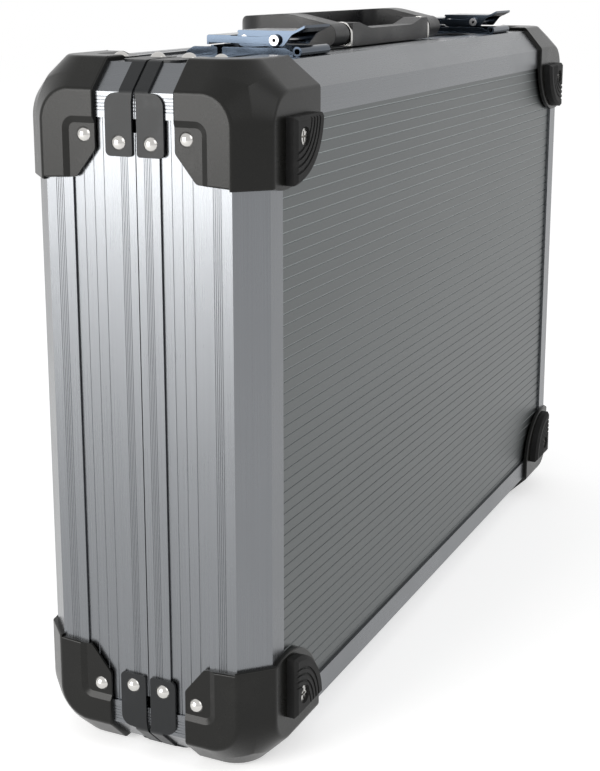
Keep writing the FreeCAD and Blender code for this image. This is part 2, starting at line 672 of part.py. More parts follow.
def handle_base():
    """The fixed bar between the handle's arms, lower in its middle."""
    top = HALF.z
    half = HANDLE_BASE_HALF
    crest = [(-half, 0), (half, 0), (half, HANDLE_BASE_END, 2), (half - 9, HANDLE_BASE_END, 12),
             (half - 26, HANDLE_BASE_MID, 30), (26 - half, HANDLE_BASE_MID, 30), (9 - half, HANDLE_BASE_END, 12),
             (-half, HANDLE_BASE_END, 2)]
    y0 = HANDLE_AXIS_Y - HANDLE_BASE_WIDTH / 2
    bar = prism([(p[0], p[1] + top) + p[2:] for p in crest], "y", y0, y0 + HANDLE_BASE_WIDTH)
    bores = []
    for low in (-half - 1, half - HANDLE_PIN_IN):
        bores.append(rod(low, low + HANDLE_PIN_IN + 1, HANDLE_AXIS_Y, top + HANDLE_AXIS_Z, HANDLE_PIN_R))
    return bar.cut(bores)


def handle_ear():
    """A metal cheek between the fixed bar and one arm."""
    top = HALF.z
    low = -HANDLE_BASE_HALF - EAR_PLATE
    radius = BARREL_R + 0.2
    round_part = rod(low, low + EAR_PLATE, HANDLE_AXIS_Y, top + HANDLE_AXIS_Z, radius)
    stem = block(low, low + EAR_PLATE, HANDLE_AXIS_Y - radius, HANDLE_AXIS_Y + radius, top, top + HANDLE_AXIS_Z)
    return joined([round_part, stem]).cut(
        rod(low - 1, low + EAR_PLATE + 1, HANDLE_AXIS_Y, top + HANDLE_AXIS_Z, HANDLE_PIN_R))


def handle_pin():
    low = -HANDLE_HALF + 4
    return rod(low, HANDLE_PIN_IN - HANDLE_BASE_HALF, HANDLE_AXIS_Y, HALF.z + HANDLE_AXIS_Z, HANDLE_PIN_R)


# ---------------------------------------------------------------- latches
def latch_piece(points, x0, x1):
    """An outline in (y, height above the frame), extruded across the latch."""
    return prism([(p[0], p[1] + HALF.z) + p[2:] for p in points], "x", x0, x1)


def latch_rod(half, place, radius):
    return rod(-half, half, place[0], place[1] + HALF.z, radius)


def both_walls(points, inner, outer):
    return [latch_piece(points, inner, outer), latch_piece(points, -outer, -inner)]


def latch_base():
    floor = latch_piece([(LATCH_START, 0), (LATCH_END, 0), (LATCH_END, LATCH_PLATE), (LATCH_START, LATCH_PLATE)],
                        -LATCH_HALF, LATCH_HALF)
    rail = [(LATCH_START, 0), (LATCH_END, 0), (LATCH_END, 2), (LATCH_END + 4, LATCH_RAIL, 2),
            (LATCH_START, LATCH_RAIL, 1)]
    rails = both_walls(rail, LATCH_HALF - LATCH_PLATE, LATCH_HALF)
    curl = rod(-LATCH_HALF, LATCH_HALF, LATCH_END - CURL_R + 0.4, HALF.z + CURL_R, CURL_R)
    curl = curl.cut(rod(-LATCH_HALF - 1, LATCH_HALF + 1, LATCH_END - CURL_R + 0.4, HALF.z + CURL_R, CURL_R - 1.1))
    y, z = LEVER_PIN
    outer = LEVER_HALF - LATCH_PLATE - EAR_SIDE_GAP
    ear = [(y - 3, 0), (y + 1, 0), (y + 1, z), (y - 3, z)]
    ears = both_walls(ear, outer - LATCH_PLATE, outer)
    for low in (outer - LATCH_PLATE, -outer):
        ears.append(rod(low, low + LATCH_PLATE, y, HALF.z + z, EAR_R))
    return joined([floor, curl] + rails + ears).cut(latch_rod(LEVER_HALF, LEVER_PIN, LATCH_PIN_R))


def latch_lever():
    top, under = LEVER_TOP, LEVER_TOP - LATCH_PLATE
    y, z = LEVER_PIN
    plate = latch_piece([(LEVER_NEAR, under), (LEVER_NEAR, top, 0.8), (LEVER_FAR, top, 6),
                         (LEVER_FAR - LEVER_LIP, top + 2.6), (LEVER_FAR - LEVER_LIP, top + 1.3),
                         (LEVER_FAR, under, 5)], -LEVER_HALF, LEVER_HALF)
    wall = [(y, under + 0.2), (y, z - 4), (HOOK_PIN[0] + 4, LEVER_UNDER), (HOOK_PIN[0] - 4, LEVER_UNDER, 2),
            (LEVER_FAR + 2, under - 1, 4), (LEVER_FAR, under + 0.2)]
    walls = both_walls(wall, LEVER_HALF - LATCH_PLATE, LEVER_HALF)
    for low in (LEVER_HALF - LATCH_PLATE, -LEVER_HALF):
        walls.append(rod(low, low + LATCH_PLATE, y, HALF.z + z, 3.9))
    lever = joined([plate] + walls)
    return lever.cut([latch_rod(LEVER_HALF + 1, LEVER_PIN, LATCH_PIN_R + PIN_GAP),
                      latch_rod(LEVER_HALF + 1, HOOK_PIN, LATCH_PIN_R)])


def latch_hook():
    inner = LEVER_HALF + HOOK_SIDE_GAP
    outer = inner + LATCH_PLATE
    y, z = HOOK_PIN
    nose = HOOK_NOSE
    arm = [(y, z - 2.4), (y + 9, HOOK_WAIST), (nose, HOOK_LIP_BOTTOM + 0.9, 1.5), (nose, HOOK_TOP, 1.5),
           (y + 9, HOOK_TOP - 0.6, 6), (y, z + 2.4)]
    pieces = both_walls(arm, inner, outer)
    for low in (inner, -outer):
        pieces.append(rod(low, low + LATCH_PLATE, y, HALF.z + z, 2.8))
    bridge = [(LEVER_NEAR + 3, HOOK_TOP - LATCH_PLATE), (nose - LATCH_PLATE, HOOK_TOP - LATCH_PLATE),
              (nose - LATCH_PLATE, HOOK_LIP_BOTTOM), (nose, HOOK_LIP_BOTTOM), (nose, HOOK_TOP, 1.1),
              (LEVER_NEAR + 3, HOOK_TOP)]
    pieces.append(latch_piece(bridge, -outer, outer))
    return joined(pieces).cut(latch_rod(outer + 1, HOOK_PIN, LATCH_PIN_R + PIN_GAP))


def lever_pin():
    return latch_rod(LEVER_HALF, LEVER_PIN, LATCH_PIN_R)


def hook_pin():
    reach = LEVER_HALF + HOOK_SIDE_GAP + LATCH_PLATE
    heads = []
    for low in (reach + 0.1, -reach - 0.9):
        heads.append(rod(low, low + 0.8, HOOK_PIN[0], HOOK_PIN[1] + HALF.z, LATCH_PIN_R + 0.7))
    return joined([latch_rod(reach + 0.2, HOOK_PIN, LATCH_PIN_R)] + heads).cut(
        latch_rod(reach + 1, HOOK_PIN, LATCH_PIN_R - 0.9))


def strike():
    """The lid's half of a latch, with the ridge that the hook pulls on."""
    ridge = HOOK_LIP_BOTTOM - HOOK_CLEAR
    floor = latch_piece([(STRIKE_START, 0), (STRIKE_END, 0), (STRIKE_END, LATCH_PLATE),
                         (STRIKE_START, LATCH_PLATE)], -LATCH_HALF, LATCH_HALF)
    rail = [(STRIKE_START, 0), (STRIKE_END, 0), (STRIKE_END, 1.6, 0.5), (STRIKE_END - 4, LATCH_RAIL, 2.5),
            (STRIKE_START, LATCH_RAIL, 1)]
    rails = both_walls(rail, LATCH_HALF - LATCH_PLATE, LATCH_HALF)
    low, high = STRIKE_RIDGE
    keeper = latch_piece([(low, 0), (high, 0), (high, ridge, 0.5), (low, ridge, 0.5)],
                         -LATCH_HALF + LATCH_PLATE, LATCH_HALF - LATCH_PLATE)
    return joined([floor, keeper] + rails)


def moved(shape, x):
    copy = shape.copy()
    copy.translate(V(x, 0, 0))
    return copy


# ---------------------------------------------------------------- build
CORNERS = (("bottom_left", -1, -1), ("bottom_right", 1, -1), ("top_left", -1, 1), ("top_right", 1, 1))


def at_corners(shapes, side):
    return [flip(s, x=sx, y=side, z=sz) for _, sx, sz in CORNERS for s in shapes]


def drilled(shape, cutters):
    return shape.cut([c for c in cutters if c.BoundBox.intersect(shape.BoundBox)])


def build_shell(name, side):
    """Everything that both shells have. side is -1 for the body and 1 for the lid."""
    holes = at_corners(rivet_holes(CAP_RIVET) + rivet_holes(STRAP_RIVET), side)
    ends, below = corner_rivets()
    long_rims = [flip(long_rim(side < 0), x=-1, y=side, z=sz) for sz in (-1, 1)]
    long_rims[0] = long_rims[0].cut(hinge_relief())
    short_rims = [flip(short_rim(side < 0), x=sx, y=side, z=-1) for sx in (-1, 1)]
    export(name + "_long_rims", *[drilled(s, holes) for s in long_rims])
    export(name + "_short_rims", *[drilled(s, holes) for s in short_rims])
    long_panels = [flip(long_side_panel(), x=-1, y=side, z=sz) for sz in (-1, 1)]
    short_panels = [flip(short_side_panel(), x=sx, y=side, z=-1) for sx in (-1, 1)]
    export(name + "_long_side_panels", *[drilled(s, holes) for s in long_panels])
    export(name + "_short_side_panels", *[drilled(s, holes) for s in short_panels])
    export(name + "_long_edges", *[flip(long_edge(), x=-1, y=side, z=sz) for sz in (-1, 1)])
    export(name + "_short_edges", *[flip(short_edge(), x=sx, y=side, z=-1) for sx in (-1, 1)])
    export(name + "_corner_posts", *at_corners([corner_post()], side))
    export(name + "_straps", *at_corners([strap()], side))
    upper = [flip(s, x=sx, y=side, z=1) for sx in (-1, 1) for s in below]
    lower = [flip(s, x=sx, y=side, z=-1) for sx in (-1, 1) for s in below]
    export(name + "_rivets", *(at_corners(ends, side) + upper))
    export(name + "_floor_rivets", *lower)
    export(name + "_lining", flip(lining(), x=-1, y=side, z=-1))


def build_faces():
    screw_holes = at_corners([screw_hole(SCREW_R + SCREW_GAP)], -1)
    export("body_face_panel", face_panel().cut(screw_holes))
    export("lid_face_panel", flip(face_panel(), x=-1, y=1, z=-1))
    cap = corner_cap()
    foot_cap = cap.cut(screw_hole(SCREW_R + SCREW_GAP))
    pad, screw = foot(), foot_screw()
    for where, sx, sz in CORNERS:
        export("body_cap_" + where, flip(foot_cap, x=sx, y=-1, z=sz))
        export("lid_cap_" + where, flip(cap, x=sx, y=1, z=sz))
        export("foot_" + where, flip(pad, x=sx, y=-1, z=sz))
    export("foot_screws", *at_corners([screw], -1))


def build_hinge():
    export("hinge_body_leaves", *[hinge_leaf(sx * HINGE_X, -1) for sx in (-1, 1)])
    export("hinge_lid_leaves", *[hinge_leaf(sx * HINGE_X, 1) for sx in (-1, 1)])
    export("hinge_pins", *[hinge_pin(sx * HINGE_X) for sx in (-1, 1)])


def build_stays():
    lower, upper = stay_links()
    body, lid, elbow = stay_points()
    for where, sx in (("left", -1), ("right", 1)):
        export("stay_lower_" + where, flip(lower, x=sx, y=-1, z=-1))
        export("stay_upper_" + where, flip(upper, x=sx, y=-1, z=-1))
    body_anchor = stay_anchor(body, STAY_WALL)
    lid_anchor = stay_anchor(lid, 2 * STAY_WALL + STAY_GAP)
    export("stay_body_anchors", *[flip(body_anchor, x=sx, y=-1, z=-1) for sx in (-1, 1)])
    export("stay_lid_anchors", *[flip(lid_anchor, x=sx, y=-1, z=-1) for sx in (-1, 1)])


def build_handle():
    export("handle_grip", handle_grip())
    export("handle_base", handle_base())
    export("handle_ears", *[flip(handle_ear(), x=sx, y=-1, z=-1) for sx in (-1, 1)])
    export("handle_pins", *[flip(handle_pin(), x=sx, y=-1, z=-1) for sx in (-1, 1)])


def build_latches():
    for where, side in LATCHES:
        export("latch_base_" + where, moved(latch_base(), side * LATCH_X))
        export("latch_lever_" + where, moved(latch_lever(), side * LATCH_X))
        export("latch_hook_" + where, moved(latch_hook(), side * LATCH_X))
        export("latch_hook_pin_" + where, moved(hook_pin(), side * LATCH_X))
    export("latch_lever_pins", *[moved(lever_pin(), side * LATCH_X) for _, side in LATCHES])
    export("latch_strikes", *[moved(strike(), side * LATCH_X) for _, side in LATCHES])


def main():
    os.makedirs("parts", exist_ok=True)
    build_shell("body", -1)
    build_shell("lid", 1)
    build_faces()
    build_hinge()
    build_stays()
    build_handle()
    build_latches()


main()
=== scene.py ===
import math

import bmesh
import bpy
from bpy.props import FloatProperty, FloatVectorProperty, IntProperty, PointerProperty
from mathutils import Matrix, Vector


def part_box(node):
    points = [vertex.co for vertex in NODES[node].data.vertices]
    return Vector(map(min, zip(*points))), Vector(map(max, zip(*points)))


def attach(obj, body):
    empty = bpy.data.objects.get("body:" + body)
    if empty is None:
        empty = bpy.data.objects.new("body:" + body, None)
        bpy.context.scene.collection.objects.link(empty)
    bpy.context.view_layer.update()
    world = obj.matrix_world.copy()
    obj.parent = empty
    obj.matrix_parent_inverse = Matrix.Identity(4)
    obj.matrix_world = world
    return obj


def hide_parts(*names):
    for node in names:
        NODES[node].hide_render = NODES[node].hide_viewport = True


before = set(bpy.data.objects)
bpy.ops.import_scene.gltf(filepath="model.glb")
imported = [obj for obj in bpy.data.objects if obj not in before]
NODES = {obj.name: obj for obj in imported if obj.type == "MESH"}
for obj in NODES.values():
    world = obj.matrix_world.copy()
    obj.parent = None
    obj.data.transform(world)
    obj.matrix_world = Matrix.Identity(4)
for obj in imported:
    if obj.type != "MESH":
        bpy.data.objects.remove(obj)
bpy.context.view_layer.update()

bl_info = {
    "name": "Framed Attache Case",
    "version": (1, 0, 0),
    "blender": (4, 5, 0),
    "location": "View3D > Sidebar > Attache Case",
    "description": "Finishes, soft lining and studio for a framed aluminium attache case",
    "category": "Object",
}

CORNERS = ("bottom_left", "bottom_right", "top_left", "top_right")
SIDES = ("left", "right")
SHELLS = {"body": "case_body", "lid": "lid"}  # each shell and the body that it rides on

WELD = 2e-6  # corners of loose triangles closer than this are one corner
FLAT = 1e-6  # edges and faces this close to a plane lie in it
CUT = 1e-7  # corners this close to a cutting plane are on it
LEVEL = math.radians(0.8)  # triangles that meet flatter than this are one flat face


# ---------------------------------------------------------------- settings
def colour_property(name, description, default):
    return FloatVectorProperty(name=name, description=description, default=default, size=3,
                               min=0, max=1, subtype="COLOR")


def length_property(name, description, default):
    return FloatProperty(name=name, description=description, default=default, min=0,
                         unit="LENGTH")


def place_property(name, description, default):
    return FloatVectorProperty(name=name, description=description, default=default, size=3,
                               subtype="TRANSLATION", unit="LENGTH")


def angle_property(name, description, degrees):
    return FloatProperty(name=name, description=description, default=math.radians(degrees),
                         subtype="ANGLE")


def strength_property(name, description, default, unit="NONE"):
    return FloatProperty(name=name, description=description, default=default, min=0, unit=unit)


class CaseFinishes(bpy.types.PropertyGroup):
    frame_colour: colour_property(
        "Frame", "Anodised frame extrusions", (0.175, 0.182, 0.192))
    panel_colour: colour_property(
        "Panels", "Grooved panels of the large faces", (0.105, 0.113, 0.114))
    lacquer_colour: colour_property(
        "Corner lacquer", "Satin lacquer on the pressed corners", (0.006, 0.006, 0.0053))
    strap_colour: colour_property(
        "Strap lacquer", "Satin lacquer on the straps", (0.012, 0.013, 0.014))
    fastener_colour: colour_property(
        "Fasteners", "Nickel-plated rivets and screws", (0.56, 0.55, 0.53))
    latch_colour: colour_property(
        "Latches", "Black-nickel latch plating", (0.05, 0.064, 0.085))
    steel_colour: colour_property(
        "Hinges and pins", "Zinc-plated steel", (0.36, 0.36, 0.37))
    rubber_colour: colour_property(
        "Feet", "Moulded rubber", (0.0075, 0.0075, 0.0075))
    handle_colour: colour_property(
        "Handle", "Moulded handle", (0.006, 0.006, 0.0065))
    lining_colour: colour_property(
        "Lining", "Quilted foam lining", (0.045, 0.047, 0.052))


class CaseSizes(bpy.types.PropertyGroup):
    groove_pitch: length_property(
        "Groove pitch", "Distance between the large panels' grooves", 0.0053)
    # The groove lines are drawn as a painted highlight in the panels' colour.
    groove_width: length_property(
        "Groove width", "Width of the large panels' bright-cut lines", 0.0009)
    plate_edge: length_property(
        "Plate edge", "Rounding of the pressed plates' edges", 0.0003)
    strap_edge: length_property(
        "Strap edge", "Rounding of the straps' edges", 0.0005)
    grip_edge: length_property(
        "Grip edge", "Rounding of the moulded grip's edges", 0.0026)
    handle_bar_edge: length_property(
        "Handle bar edge", "Rounding of the fixed bar under the grip", 0.0012)
    rubber_edge: length_property(
        "Rubber edge", "Rounding of the feet's edges", 0.0005)
    lining_wall: length_property(
        "Lining wall", "Thickness of the foam lining", 0.004)
    lining_corner: length_property(
        "Lining corner", "Corner radius of the lining tray", 0.016)
    lining_bevel: length_property(
        "Lining bevel", "Bevel round the back of the lining tray", 0.0075)
    quilt_channel: length_property(
        "Quilt channel", "Depth of the lining's sewn channels", 0.0022)
    quilt_seam: length_property(
        "Quilt seam", "From a sewn line to the foot of a cell's padding", 0.0016)
    quilt_shoulder: length_property(
        "Quilt shoulder", "Rounded border of a cell's padding", 0.007)
    quilt_columns: IntProperty(
        name="Quilt columns", description="Quilted cells along the case", default=9, min=1)
    quilt_rows: IntProperty(
        name="Quilt rows", description="Quilted cells up the case", default=6, min=1)


class CaseStudio(bpy.types.PropertyGroup):
    camera_place: place_property(
        "Camera", "Where the camera stands", (-0.7763, -0.33055, 0.3714))
    camera_azimuth: angle_property(
        "Azimuth", "Turn of the view from the case's length", 25.29)
    camera_pitch: angle_property(
        "Pitch", "How far the camera looks down", 12.57)
    camera_lens: FloatProperty(
        name="Lens", description="Focal length in millimetres", default=66.77, min=1,
        unit="CAMERA")
    camera_shift: FloatProperty(
        name="Shift", description="Upward shift of the frame", default=-0.12)
    backdrop_colour: colour_property(
        "Backdrop", "Floor and surroundings", (1.0, 1.0, 1.0))
    daylight: strength_property(
        "Daylight", "Strength of the even light from all round", 0.62)
    floor_size: length_property(
        "Floor", "Side of the square floor", 9.0)
    floor_gap: length_property(
        "Floor gap", "How far the floor lies under the feet", 0.0005)
    floor_shade: strength_property(
        "Floor shade", "Share of the light that the floor's paint sends back", 0.8)
    floor_glow: strength_property(
        "Floor glow", "Light added where the floor is seen directly", 0.5)
    window_place: place_property(
        "Window lamp", "Where the side lamp stands", (-1.35, 0.50, 0.46))
    window_aim: place_property(
        "Window lamp's aim", "The point that the side lamp faces", (-0.24, 0.0, 0.25))
    window_size: length_property(
        "Window lamp's size", "Side of the square side lamp", 0.8)
    window_power: strength_property(
        "Window lamp's power", "Power of the side lamp", 16.0, "POWER")
    window_colour: colour_property(
        "Window lamp's colour", "Colour of the side lamp", (1.0, 0.99, 0.97))
    fill_place: place_property(
        "Fill lamp", "Where the front lamp stands", (-0.3, -1.6, 1.3))
    fill_aim: place_property(
        "Fill lamp's aim", "The point that the front lamp faces", (0.0, 0.0, 0.2))
    fill_size: length_property(
        "Fill lamp's size", "Side of the square front lamp", 1.4)
    fill_power: strength_property(
        "Fill lamp's power", "Power of the front lamp", 8.0, "POWER")
    fill_colour: colour_property(
        "Fill lamp's colour", "Colour of the front lamp", (1.0, 1.0, 1.0))


# ---------------------------------------------------------------- shader maths
class Value:
    """A value in a material. Arithmetic on it adds Math nodes."""

    def __init__(self, finish, socket):
        self.finish = finish
        self.socket = socket

    def maths(self, operation, first, second):
        return self.finish.add("ShaderNodeMath", {"operation": operation}, {0: first, 1: second})

    def __add__(self, other):
        return self.maths("ADD", self, other)

    def __radd__(self, other):
        return self.maths("ADD", other, self)

    def __sub__(self, other):
        return self.maths("SUBTRACT", self, other)

    def __rsub__(self, other):
        return self.maths("SUBTRACT", other, self)

    def __mul__(self, other):
        return self.maths("MULTIPLY", self, other)

    def __rmul__(self, other):
        return self.maths("MULTIPLY", other, self)

    def __truediv__(self, other):
        return self.maths("DIVIDE", self, other)

    def __rtruediv__(self, other):
        return self.maths("DIVIDE", other, self)

    def to_and_fro(self, reach):
        """Climbs from 0 to reach and falls back to 0, over and over."""
        return self.maths("PINGPONG", self, reach)

    def or_larger(self, other):
        return self.maths("MAXIMUM", self, other)

    def above(self, low, high):
        """0 below low, 1 above high and smooth between them."""
        return self.finish.add("ShaderNodeMapRange", {"interpolation_type": "SMOOTHSTEP"},
                               {"Value": self, "From Min": low, "From Max": high})


class Finish:
    """One material and the nodes that make it."""

    def __init__(self, name):
        self.material = bpy.data.materials.new(name)
        self.material.use_nodes = True
        self.tree = self.material.node_tree
        self.tree.nodes.clear()

    def add(self, kind, settings=None, sockets=None, output=0):
        """A node of this kind: its settings first, then values or links on its sockets."""
        node = self.tree.nodes.new(kind)
        for name, setting in (settings or {}).items():
            setattr(node, name, setting)
        for name, value in (sockets or {}).items():
            if isinstance(value, Value):
                self.tree.links.new(value.socket, node.inputs[name])
            else:
                node.inputs[name].default_value = value
        return Value(self, node.outputs[output]) if len(node.outputs) else None

    def place(self, scale=(1, 1, 1)):
        """Object coordinates, scaled along each axis."""
        point = self.add("ShaderNodeTexCoord", output="Object")
        return self.add("ShaderNodeMapping", {}, {"Vector": point, "Scale": scale})

    def cloud(self, scale, stretch=(1, 1, 1), detail=3.0, roughness=0.5):
        """Noise with this many features to the metre."""
        return self.add("ShaderNodeTexNoise", {},
                        {"Vector": self.place(stretch), "Scale": scale, "Detail": detail,
                         "Roughness": roughness})

    def blend(self, share, first, second):
        """A colour between two colours."""
        return self.add("ShaderNodeMix", {"data_type": "RGBA"},
                        {0: share, 6: first, 7: second}, output=2)

    def relief(self, height, distance, strength=1.0):
        """A normal bumped by a height from 0 to 1, this many metres high."""
        return self.add("ShaderNodeBump", {},
                        {"Strength": strength, "Distance": distance, "Height": height})

    def surface(self, **sockets):
        """The finished material: one surface shader with these sockets."""
        named = {name.replace("_", " "): value for name, value in sockets.items()}
        shader = self.add("ShaderNodeBsdfPrincipled", {}, named)
        self.add("ShaderNodeOutputMaterial", {}, {"Surface": shader})
        return self.material


class SkyFinish(Finish):
    """The world's nodes, built in the same way as a material's."""

    def __init__(self, world):
        world.use_nodes = True
        self.tree = world.node_tree
        self.tree.nodes.clear()


def tone(colour, share=1.0):
    """A colour with alpha, lightened or darkened by a share."""
    return tuple(min(1.0, part * share) for part in colour) + (1.0,)


def grain(axis, across, along):
    """Scales that draw noise out into lines along one axis."""
    return tuple(along if name == axis else across for name in "xyz")


# ---------------------------------------------------------------- finishes
def drawn_metal(name, colour, axis, roughness, contrast=0.10, polish=0.08):
    """Anodised metal with fine die lines along one axis and faint handling marks."""
    finish = Finish(name)
    lines = finish.cloud(1.0, grain(axis, across=1900, along=9), detail=2)
    bands = finish.cloud(1.0, grain(axis, across=160, along=2.2), detail=2)
    smudges = finish.cloud(14.0, detail=4, roughness=0.6).above(0.42, 0.78)
    pattern = lines * 0.6 + bands * 0.4
    shade = finish.blend(pattern, tone(colour, 1 - contrast), tone(colour, 1 + contrast))
    shade = finish.blend(smudges * 0.16, shade, tone(colour, 0.8))
    rough = roughness + (lines - 0.5) * polish + smudges * 0.06
    return finish.surface(Base_Color=shade, Metallic=1.0, Roughness=rough,
                          Normal=finish.relief(lines, distance=0.00003, strength=0.5))


def brushed_panel(name, colour, pitch, width, middle):
    """Panel metal brushed along its grooves, each groove line a painted highlight that fades
    towards the bottom.
    """
    finish = Finish(name)
    point = finish.add("ShaderNodeTexCoord", output="Object")
    height = finish.add("ShaderNodeSeparateXYZ", {}, {"Vector": point}, output="Z")
    rows = (height - middle) / pitch + 0.5
    half_cut = width / pitch / 2
    # mask of the painted highlight: a bright line along each groove
    cut = rows.to_and_fro(0.5).above(0.5 - half_cut, 0.5 - half_cut / 2)
    # painted highlight fade: the groove lines grow fainter towards the bottom, as the light
    # falls from above
    highlight_fade = height.above(middle * 0.5, middle * 1.8) * 0.8 + 0.12
    brush = finish.cloud(1.0, grain("x", across=2400, along=14), detail=3, roughness=0.6)
    bands = finish.cloud(1.0, grain("x", across=95, along=1.4), detail=1)
    clouds = finish.cloud(5.0, detail=3)
    pattern = brush * 0.55 + bands * 0.25 + clouds * 0.2
    shade = finish.blend(pattern, tone(colour, 0.84), tone(colour, 1.16))
    # painted highlight: groove lines 3.1 times lighter than the panel, fainter towards the
    # bottom
    shade = finish.blend(cut * highlight_fade, shade, tone(colour, 3.1))
    rough = 0.33 + (brush - 0.5) * 0.12 + clouds * 0.06
    return finish.surface(Base_Color=shade, Metallic=1.0, Roughness=rough,
                          Normal=finish.relief(brush, distance=0.00004, strength=0.55))


def lacquer(name, colour, roughness=0.29, specular=0.22):
    """Satin lacquer on pressed steel: slight orange peel, dust-fine sparkle, rubbed patches."""
    finish = Finish(name)
    peel = finish.cloud(900.0, detail=2)
    speck = finish.cloud(5200.0, detail=1)
    rubbed = finish.cloud(55.0, detail=4, roughness=0.65).above(0.5, 0.8)
    shade = finish.blend(rubbed * 0.5 + speck * 0.25, tone(colour, 0.9), tone(colour, 1.9))
    rough = roughness + (speck - 0.5) * 0.10 - rubbed * 0.06
    return finish.surface(Base_Color=shade, Roughness=rough, Specular_IOR_Level=specular,
                          Normal=finish.relief(peel, distance=0.00006, strength=0.5))


def plating(name, colour, roughness, haze=0.08):
    """Bright plating, almost a mirror, with faint haze and hairlines."""
    finish = Finish(name)
    hazy = finish.cloud(70.0, detail=4, roughness=0.6)
    hair = finish.cloud(1.0, grain("y", across=2600, along=300), detail=1)
    shade = finish.blend(hazy * 0.7 + hair * 0.3, tone(colour, 0.86), tone(colour, 1.08))
    rough = roughness + hazy * haze
    return finish.surface(Base_Color=shade, Metallic=1.0, Roughness=rough,
                          Normal=finish.relief(hair, distance=0.00001, strength=0.3))


def moulded_rubber(name, colour):
    """Matt rubber with a fine mould texture and a dusty bloom."""
    finish = Finish(name)
    pores = finish.cloud(2600.0, detail=2)
    bloom = finish.cloud(90.0, detail=4, roughness=0.6).above(0.4, 0.75)
    shade = finish.blend(bloom * 0.6, tone(colour), tone(colour, 2.4))
    rough = 0.62 + pores * 0.12
    return finish.surface(Base_Color=shade, Roughness=rough, Specular_IOR_Level=0.22,
                          Normal=finish.relief(pores, distance=0.00008, strength=0.6))


def moulded_grip(name, colour):
    """Semi-gloss moulding: fine leather-like grain with smoother, shinier worn crowns."""
    finish = Finish(name)
    cells = finish.add("ShaderNodeTexVoronoi", {"feature": "DISTANCE_TO_EDGE"},
                       {"Vector": finish.place(), "Scale": 820.0})
    leather = cells.above(0.0, 0.18)
    worn = finish.cloud(45.0, detail=3).above(0.45, 0.72)
    shade = finish.blend(worn * 0.7, tone(colour), tone(colour, 2.2))
    rough = 0.36 - worn * 0.10 + (1 - leather) * 0.08
    return finish.surface(Base_Color=shade, Roughness=rough, Specular_IOR_Level=0.35,
                          Normal=finish.relief(leather, distance=0.00005, strength=0.5))


def quilted_foam(name, colour):
    """Fabric-faced foam: a plain weave with lighter fibres."""
    finish = Finish(name)
    weave = finish.add("ShaderNodeTexWave",
                       {"wave_type": "BANDS", "bands_direction": "DIAGONAL"},
                       {"Vector": finish.place(), "Scale": 420.0, "Distortion": 1.2,
                        "Detail": 2.0})
    fibre = finish.cloud(1900.0, detail=3, roughness=0.7)
    nap = finish.cloud(26.0, detail=3)
    pattern = weave * 0.35 + fibre * 0.45 + nap * 0.2
    shade = finish.blend(pattern, tone(colour, 0.7), tone(colour, 1.5))
    threads = weave * 0.5 + fibre * 0.5
    return finish.surface(Base_Color=shade, Roughness=0.86 + fibre * 0.08,
                          Specular_IOR_Level=0.2, Sheen_Weight=0.25, Sheen_Roughness=0.5,
                          Normal=finish.relief(threads, distance=0.00018, strength=0.7))


def finish_node(node, material):
    """Give a node this material and no other."""
    mesh = NODES[node].data
    mesh.materials.clear()
    mesh.materials.append(material)


# ---------------------------------------------------------------- pieces in place of nodes
def new_piece(name, shape, material, body):
    """A smooth-shaded object at the origin made from a bmesh, riding on one body."""
    mesh = bpy.data.meshes.new(name)
    shape.to_mesh(mesh)
    shape.free()
    for face in mesh.polygons:
        face.use_smooth = True
    piece = bpy.data.objects.new(name, mesh)
    bpy.context.scene.collection.objects.link(piece)
    mesh.materials.append(material)
    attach(piece, body)
    return piece


def merged_copy(node):
    """A node's mesh as one connected surface with its flat faces whole."""
    shape = bmesh.new()
    shape.from_mesh(NODES[node].data)
    bmesh.ops.remove_doubles(shape, verts=shape.verts, dist=WELD)
    bmesh.ops.dissolve_limit(shape, angle_limit=LEVEL, verts=shape.verts, edges=shape.edges)
    return shape


def rounded_node(node, body, material, width, segments=2, angle=32):
    """A piece in place of a node, the same shape with its sharp edges rounded."""
    piece = new_piece(node + "_rounded", merged_copy(node), material, body)
    bevel = piece.modifiers.new("edge", "BEVEL")
    bevel.width = width
    bevel.segments = segments
    bevel.limit_method = "ANGLE"
    bevel.angle_limit = math.radians(angle)
    bevel.harden_normals = True
    bevel.use_clamp_overlap = True
    shading = piece.modifiers.new("flat faces", "WEIGHTED_NORMAL")
    shading.mode = "FACE_AREA"
    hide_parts(node)
    return piece


# ---------------------------------------------------------------- hard pieces
class CASE_OT_frame(bpy.types.Operator):
    """Finish every extrusion with lines along the way it was drawn"""
    bl_idname = "attache_case.frame"
    bl_label = "Anodised frame"

    def execute(self, context):
        colour = context.scene.case_finishes.frame_colour
        ways = {"x": ("long_rims", "long_edges", "long_side_panels"),
                "y": ("corner_posts",),
                "z": ("short_rims", "short_edges", "short_side_panels")}
        for axis, kinds in ways.items():
            material = drawn_metal("anodised_frame_" + axis, colour, axis, roughness=0.27)
            for shell in SHELLS:
                for kind in kinds:
                    finish_node(shell + "_" + kind, material)
        return {"FINISHED"}


class CASE_OT_panels(bpy.types.Operator):
    """Finish the two large panels"""
    bl_idname = "attache_case.panels"
    bl_label = "Grooved panels"

    def execute(self, context):
        finishes, sizes = context.scene.case_finishes, context.scene.case_sizes
        low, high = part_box("body_face_panel")
        material = brushed_panel("grooved_panel", finishes.panel_colour, sizes.groove_pitch,
                                 sizes.groove_width, middle=(low.z + high.z) / 2)
        for shell in SHELLS:
            finish_node(shell + "_face_panel", material)
        return {"FINISHED"}


